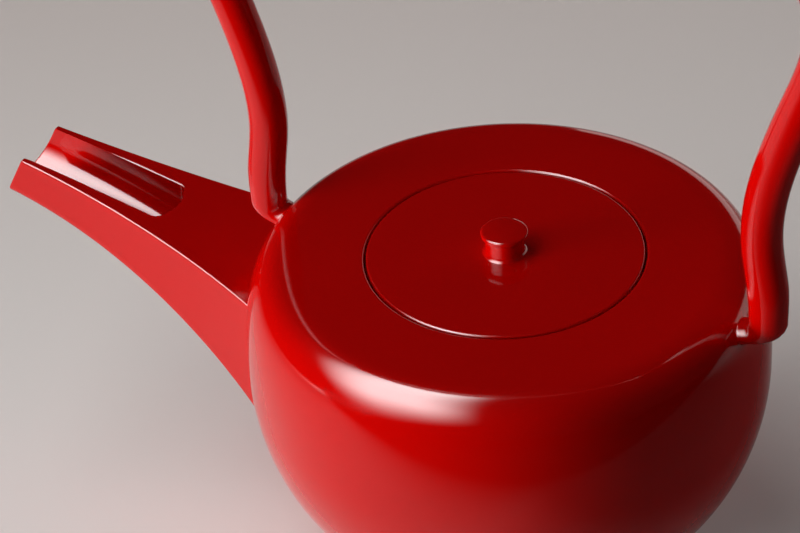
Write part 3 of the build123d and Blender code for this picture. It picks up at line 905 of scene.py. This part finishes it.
class EWER_OT_handle(bpy.types.Operator):
    """Builds the arched handle with its tapering feet, faired into the shoulder"""
    bl_idname = "ewer.handle"
    bl_label = "Handle"

    def execute(self, context):
        handle = context.scene.ewer_handle
        wall = Wall(context.scene.ewer_bowl)
        front = self.leg_rows(handle)
        rear = front * (-1, 1, 1)
        rear = rear[:, ::-1]
        shift = np.array((handle.shift, 0, 0))
        keep = np.linspace(0, 1, 130)
        front_rows = fitted_rows(front + shift, wall, handle.foot_fillet, keep)
        rear_rows = fitted_rows(rear + shift, wall, handle.foot_fillet, keep)
        columns = front.shape[1]
        order = [int(np.argmin(np.linalg.norm(rear_rows[0] - p, axis=1))) for p in front_rows[0]]
        matched = rear_rows[:, order]
        rows = np.concatenate([front_rows[::-1], matched[1:]])
        vertices = rows.reshape(-1, 3)
        faces = tube_faces(len(rows), columns)
        vertices, first_cap = fan_cap(vertices, np.arange(columns), True)
        vertices, last_cap = fan_cap(vertices, np.arange(columns) + (len(rows) - 1) * columns, False)
        piece = make_piece("handle_lacquered", vertices, faces + first_cap + last_cap,
                           vermilion_lacquer(context.scene.ewer_colours), "root", ("handle",))
        face_outwards(piece)
        soften(piece)
        return {"FINISHED"}

    def leg_rows(self, handle):
        """Oval sections from the crown down to the front foot and on into the bowl."""
        corner = np.array((handle.foot_corner_x, handle.foot_corner_height))
        foot_top = corner + (handle.foot_gap + handle.half_thickness, 0)
        points = [foot_top, handle.leg_low, handle.leg_waist, handle.leg_middle, handle.leg_upper,
                  handle.leg_top]
        line, direction = smooth_spline(points, (0, 1), (0, 1), 500)
        top = np.array(handle.leg_top)
        inset = top[0] - handle.corner_radius
        fall = math.sqrt((handle.crown_radius - handle.corner_radius) ** 2 - inset ** 2)
        meet = math.degrees(math.atan2(fall, inset))
        bend = arc((inset, top[1]), handle.corner_radius, meet, 0, 160)
        crown = arc((0, top[1] - fall), handle.crown_radius, 90, meet, 120)
        centres = [*crown, *bend[1:], *line[::-1][1:]]
        outwards = [*(crown - (0, top[1] - fall)), *(bend[1:] - (inset, top[1])),
                    *np.column_stack([direction[:, 1], -direction[:, 0]])[::-1][1:]]
        centres, outwards = np.array(centres), np.array(outwards)
        outwards /= np.linalg.norm(outwards, axis=1)[:, None]
        share = np.clip((corner[1] + handle.taper_height - centres[:, 1]) / handle.taper_height, 0, 1)
        halves = handle.half_thickness - handle.taper * share ** 2 * (3 - 2 * share)
        centres = [*(centres - outwards * (handle.half_thickness - halves)[:, None])]
        outwards, halves = [*outwards], [*halves]
        foot_half = halves[-1]
        for turn in np.linspace(0, handle.foot_turn, 60)[1:]:
            share = math.sin(turn / handle.foot_turn * math.pi / 2) ** 1.2
            half = foot_half + share * (handle.seat_half_thickness - foot_half)
            facing = np.array((math.cos(turn), -math.sin(turn)))
            centres.append(corner + facing * (handle.foot_gap + half))
            outwards.append(facing)
            halves.append(half)
        heading = np.array((math.sin(turn), math.cos(turn)))
        for _ in range(59):
            centres.append(centres[-1] - 0.13 * MM * heading)
            outwards.append(outwards[-1])
            halves.append(halves[-1])
        centres, outwards = np.array(centres), np.array(outwards)
        outwards /= np.linalg.norm(outwards, axis=1)[:, None]
        turn = np.linspace(0, 2 * math.pi, 48, endpoint=False)
        halves = np.array(halves)
        reach = halves[:, None] * np.cos(turn)
        x = centres[:, :1] + outwards[:, :1] * reach
        z = centres[:, 1:] + outwards[:, 1:] * reach
        thinner = (halves - halves.min()) / (halves.max() - halves.min())
        depth = handle.seat_half_depth + (handle.half_depth - handle.seat_half_depth) * thinner
        y = depth[:, None] * np.sin(turn)
        return np.stack([x, y, z], -1)


class EWER_OT_lid(bpy.types.Operator):
    """Builds the flush round lid and its turned spool knob"""
    bl_idname = "ewer.lid"
    bl_label = "Lid and knob"

    def execute(self, context):
        lid, top = context.scene.ewer_lid, context.scene.ewer_bowl.top_height
        lacquer = vermilion_lacquer(context.scene.ewer_colours)
        a, low = lid.arris, top - lid.thickness
        step_low = low - lid.step_depth
        plate = joined(
            [(0, top), (lid.radius - 5 * MM, top)],
            arc((lid.radius - a, top - a), a, 90, 0, 6),
            [(lid.radius, low), (lid.step_radius, low)],
            arc((lid.step_radius - a, step_low + a), a, 0, -90, 6),
            [(0, step_low)])
        piece = make_piece("lid_lacquered", *turned_mesh(plate), lacquer, "lid", ("lid_plate",))
        face_outwards(piece)
        soften(piece)

        def flare(radius, level, edge, edge_level, steps=8):
            spread, rise = edge - radius, abs(edge_level - level)
            bend = (spread ** 2 + rise ** 2) / (2 * spread)
            end = math.degrees(math.asin(rise / bend)) * (1 if edge_level > level else -1)
            return arc((radius + bend, level), bend, 180, 180 - end, steps)

        rim_low = top + lid.knob_height - lid.knob_rim
        rim_top = top + lid.knob_height
        b = lid.knob_arris
        crown_radius = (lid.knob_radius ** 2 + lid.knob_crown ** 2) / (2 * lid.knob_crown)
        crown_end = math.degrees(math.asin((lid.knob_radius - b) / crown_radius))
        knob = joined(
            arc((0, rim_top + lid.knob_crown - crown_radius), crown_radius, 90, 90 - crown_end, 12),
            arc((lid.knob_radius - b, rim_top - b), b, 80, 0, 6),
            arc((lid.knob_radius - b / 2, rim_low + b / 2), b / 2, 0, -60, 4),
            flare(lid.knob_waist, rim_low - lid.knob_flare, lid.knob_radius - b / 2, rim_low)[::-1],
            flare(lid.knob_waist, top + lid.knob_flare, lid.knob_base, top),
            [(lid.knob_base, top - 0.4 * MM), (0, top - 0.4 * MM)])
        piece = make_piece("knob_lacquered", *turned_mesh(knob), lacquer, "lid", ("lid_knob",))
        face_outwards(piece)
        soften(piece)
        return {"FINISHED"}


class EWER_OT_pegs(bpy.types.Operator):
    """Builds the hidden pegs that hold the handle's feet to the shoulder"""
    bl_idname = "ewer.pegs"
    bl_label = "Pegs"

    def execute(self, context):
        handle = context.scene.ewer_handle
        wood = bare_hardwood(context.scene.ewer_colours)
        r, end = handle.peg_radius, handle.peg_end
        for name, side in (("front", 1), ("rear", -1)):
            node = f"handle_{name}_peg"
            start = min(abs(corner[0]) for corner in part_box(node))
            length_run = end - start
            outline = joined([(0, length_run)], arc((r - r / 4, length_run - r / 4), r / 4, 90, 0, 4),
                             arc((r - r / 4, r / 4), r / 4, 0, -90, 4), [(0, 0)])
            vertices, faces = turned_mesh(outline)
            along = np.array(vertices)
            height = sum(corner[2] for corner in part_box(node)) / 2
            placed = np.column_stack([side * (start + along[:, 2]), along[:, 0], height + along[:, 1]])
            piece = make_piece(f"{name}_peg_turned", placed, faces, wood, "root", (node,), "bare_wood")
            face_outwards(piece)
            soften(piece)
        return {"FINISHED"}


class EWER_OT_studio(bpy.types.Operator):
    """Sets up the grey paper, the softbox, the low panel and the camera"""
    bl_idname = "ewer.studio"
    bl_label = "Studio"

    def execute(self, context):
        scene, studio = context.scene, context.scene.ewer_studio
        self.paper(context, studio)
        self.flag(context)

        world = bpy.data.worlds.new("dark studio")
        scene.world = world
        world.use_nodes = True
        tree = world.node_tree
        tree.nodes.clear()
        ray = add_node(tree, "ShaderNodeLightPath")
        dark = add_node(tree, "ShaderNodeBackground", values={"Color": (1, 0.95, 0.92, 1), "Strength": 0.012})
        seen = add_node(tree, "ShaderNodeBackground", values={"Color": linear("#A9A19E"), "Strength": 1.0})
        mix = add_node(tree, "ShaderNodeMixShader", links={0: ray.outputs["Is Camera Ray"],
                                                          1: dark.outputs[0], 2: seen.outputs[0]})
        add_node(tree, "ShaderNodeOutputWorld", links={"Surface": mix.outputs[0]})

        self.card(context, studio)
        self.far_wall(context, studio)
        middle = (0, 0, 0.05)
        self.lamp("low panel", (1.68, 1.72, 0.20), middle, (1.0, 0.4), studio.panel_light)
        self.lamp("back panel", (-0.58, -2.32, 0.34), middle, (2.2, 0.9), studio.back_light)
        softbox = self.lamp("softbox", (0, 0, 1), middle, (0.39, 2.15), studio.softbox_light)
        softbox.matrix_world = SOFTBOX_PLACE

        data = bpy.data.cameras.new("camera")
        data.sensor_width, data.lens = 36.0, studio.lens
        data.clip_start, data.clip_end = 0.05, 50
        camera = bpy.data.objects.new("camera", data)
        camera.location = (-0.2748, 0.5511, 0.5502)
        camera.rotation_euler = [math.radians(a) for a in (53.6206, 3.2868, -153.1386)]
        scene.collection.objects.link(camera)
        scene.camera = camera
        scene.view_settings.view_transform = "Standard"
        return {"FINISHED"}

    def paper(self, context, studio):
        """The grey paper that the ewer stands on."""
        half = 4.0
        mesh = bpy.data.meshes.new("paper")
        mesh.from_pydata([(-half, -half, 0), (half, -half, 0), (half, half, 0), (-half, half, 0)],
                         [], [(0, 1, 2, 3)])
        mesh.materials.append(grey_paper(context.scene.ewer_colours, studio.paper_glow))
        paper = bpy.data.objects.new("paper", mesh)
        context.scene.collection.objects.link(paper)

    def flag(self, context):
        """A black sheet of painted shade beside the ewer that only its gloss mirrors, with soft edges: it darkens the
        floor in the lacquer's reflections.
        """
        half, height = 4.0, 1.5 * MM
        mesh = bpy.data.meshes.new("black flag")
        mesh.from_pydata([(-half, -half, height), (half, -half, height), (half, half, height),
                          (-half, half, height)], [], [(0, 1, 2, 3)])
        material = new_material("painted_shade_black")
        tree = material.node_tree
        place = add_node(tree, "ShaderNodeTexCoord")

        def edge(direction, start, end, most=1.0):
            along = add_node(tree, "ShaderNodeVectorMath", {"operation": "DOT_PRODUCT"},
                             {1: direction}, {0: place.outputs["Object"]})
            return add_node(tree, "ShaderNodeMapRange", {"interpolation_type": "SMOOTHSTEP"},
                            {"From Min": start, "From Max": end, "To Max": most},
                            {"Value": along.outputs["Value"]}).outputs[0]

        # Painted shade in the lacquer's reflections: dark over the floor in front of the ewer, and to its right where
        # the ewer shades the floor.
        front = edge((-0.545, 0.839, 0), 0.095, 0.21)
        right = add_node(tree, "ShaderNodeMath", {"operation": "MULTIPLY"}, links={
            0: edge((-1, 0, 0), 0.0, 0.12, 0.9), 1: edge((0, 1, 0), -0.3, -0.1)})
        share = add_node(tree, "ShaderNodeMath", {"operation": "MAXIMUM"},
                         links={0: front, 1: right.outputs[0]})
        clear = add_node(tree, "ShaderNodeBsdfTransparent")
        black = add_node(tree, "ShaderNodeBsdfDiffuse", values={"Color": (0.002, 0.002, 0.002, 1)})
        both = add_node(tree, "ShaderNodeMixShader",
                        links={0: share.outputs[0], 1: clear.outputs[0], 2: black.outputs[0]})
        add_node(tree, "ShaderNodeOutputMaterial", links={"Surface": both.outputs[0]})
        mesh.materials.append(material)
        flag = bpy.data.objects.new("black flag", mesh)
        self.only_in_gloss(flag)
        context.scene.collection.objects.link(flag)

    def only_in_gloss(self, thing):
        """Hides a piece of the studio from everything but the lacquer's reflections."""
        for kind in ("camera", "diffuse", "transmission", "volume_scatter", "shadow"):
            setattr(thing, f"visible_{kind}", False)

    def card(self, context, studio):
        """The long softbox that the lacquer mirrors: a bright cloth that fades at its edges."""
        edges = ((0, -0.33, -0.06), (0, 0.33, 0.06), (1, -1.55, -0.6), (1, 1.33, 0.83))
        (left, right), (low, high) = (edges[0][1], edges[1][1]), (edges[2][1], edges[3][1])
        mesh = bpy.data.meshes.new("softbox cloth")
        mesh.from_pydata([(left, low, 0), (right, low, 0), (right, high, 0), (left, high, 0)], [],
                         [(0, 1, 2, 3)])
        material = new_material("glowing_cloth")
        tree = material.node_tree
        place = add_node(tree, "ShaderNodeTexCoord")
        split = add_node(tree, "ShaderNodeSeparateXYZ", links={0: place.outputs["Object"]})
        strength = studio.softbox_gloss
        for axis, dark, full in edges:
            fade = add_node(tree, "ShaderNodeMapRange", {"interpolation_type": "SMOOTHSTEP"},
                            {"From Min": dark, "From Max": full, "To Min": 0.0, "To Max": 1.0},
                            {"Value": split.outputs[axis]})
            value, link = ({0: strength}, {1: fade.outputs[0]})
            if not isinstance(strength, float):
                value, link = {}, {0: strength, 1: fade.outputs[0]}
            strength = add_node(tree, "ShaderNodeMath", {"operation": "MULTIPLY"}, value, link).outputs[0]
        glow = add_node(tree, "ShaderNodeEmission", links={"Strength": strength})
        add_node(tree, "ShaderNodeOutputMaterial", links={"Surface": glow.outputs[0]})
        mesh.materials.append(material)
        card = bpy.data.objects.new("softbox cloth", mesh)
        card.matrix_world = SOFTBOX_PLACE
        self.only_in_gloss(card)
        context.scene.collection.objects.link(card)

    def far_wall(self, context, studio):
        """A far wall that glows dimly though it is no lamp, seen only in the lacquer's reflections as a painted
        reflection, a thin grey band along its back edge.
        """
        mesh = bpy.data.meshes.new("far wall")
        mesh.from_pydata([(1.0, -2.6, 0), (-2.2, -1.9, 0), (-2.2, -1.9, 0.75), (1.0, -2.6, 0.75)], [],
                         [(0, 1, 2, 3)])
        material = new_material("far_wall_glow")
        tree = material.node_tree
        glow = add_node(tree, "ShaderNodeEmission", values={"Color": linear("#F0E4DE"),
                                                            "Strength": studio.wall_gloss})
        add_node(tree, "ShaderNodeOutputMaterial", links={"Surface": glow.outputs[0]})
        mesh.materials.append(material)
        wall = bpy.data.objects.new("far wall", mesh)
        self.only_in_gloss(wall)
        context.scene.collection.objects.link(wall)

    def lamp(self, name, place, aim, size, power):
        """A rectangular area lamp that lights the ewer, and isn't seen in its gloss."""
        data = bpy.data.lights.new(name, "AREA")
        data.shape, data.size, data.size_y, data.energy = "RECTANGLE", size[0], size[1], power
        lamp = bpy.data.objects.new(name, data)
        lamp.location = place
        lamp.rotation_euler = (Vector(aim) - Vector(place)).to_track_quat("-Z", "Y").to_euler()
        lamp.visible_camera = lamp.visible_glossy = False
        bpy.context.scene.collection.objects.link(lamp)
        return lamp


class EWER_PT_panel(bpy.types.Panel):
    """The ewer's pieces and its studio, one button each"""
    bl_idname = "EWER_PT_panel"
    bl_label = "Sake ewer"
    bl_space_type = "VIEW_3D"
    bl_region_type = "UI"
    bl_category = "Sake ewer"

    def draw(self, context):
        for operator in OPERATORS:
            self.layout.operator(operator.bl_idname)
        for name in GROUPS:
            box = self.layout.box()
            group = getattr(context.scene, name)
            for prop in type(group).__annotations__:
                box.prop(group, prop)


GROUPS = {"ewer_bowl": BowlSizes, "ewer_lid": LidSizes, "ewer_spout": SpoutSizes,
          "ewer_handle": HandleSizes, "ewer_colours": FinishColours, "ewer_studio": StudioSettings}
OPERATORS = (EWER_OT_bowl, EWER_OT_foot_ring, EWER_OT_spout, EWER_OT_handle, EWER_OT_lid,
             EWER_OT_pegs, EWER_OT_studio)


def face_outwards(piece):
    """Turns every face of a closed mesh outwards."""
    import bmesh
    work = bmesh.new()
    work.from_mesh(piece.data)
    bmesh.ops.recalc_face_normals(work, faces=work.faces)
    work.to_mesh(piece.data)
    work.free()


def register():
    for kind in (*GROUPS.values(), *OPERATORS, EWER_PT_panel):
        bpy.utils.register_class(kind)
    for name, group in GROUPS.items():
        setattr(bpy.types.Scene, name, bpy.props.PointerProperty(type=group))


def unregister():
    for name in GROUPS:
        delattr(bpy.types.Scene, name)
    for kind in (EWER_PT_panel, *OPERATORS[::-1], *list(GROUPS.values())[::-1]):
        bpy.utils.unregister_class(kind)


def main():
    """Builds every piece and the studio."""
    register()
    bpy.ops.ewer.bowl()
    bpy.ops.ewer.foot_ring()
    bpy.ops.ewer.spout()
    bpy.ops.ewer.handle()
    bpy.ops.ewer.lid()
    bpy.ops.ewer.pegs()
    bpy.ops.ewer.studio()


if __name__ == "__main__":
    main()
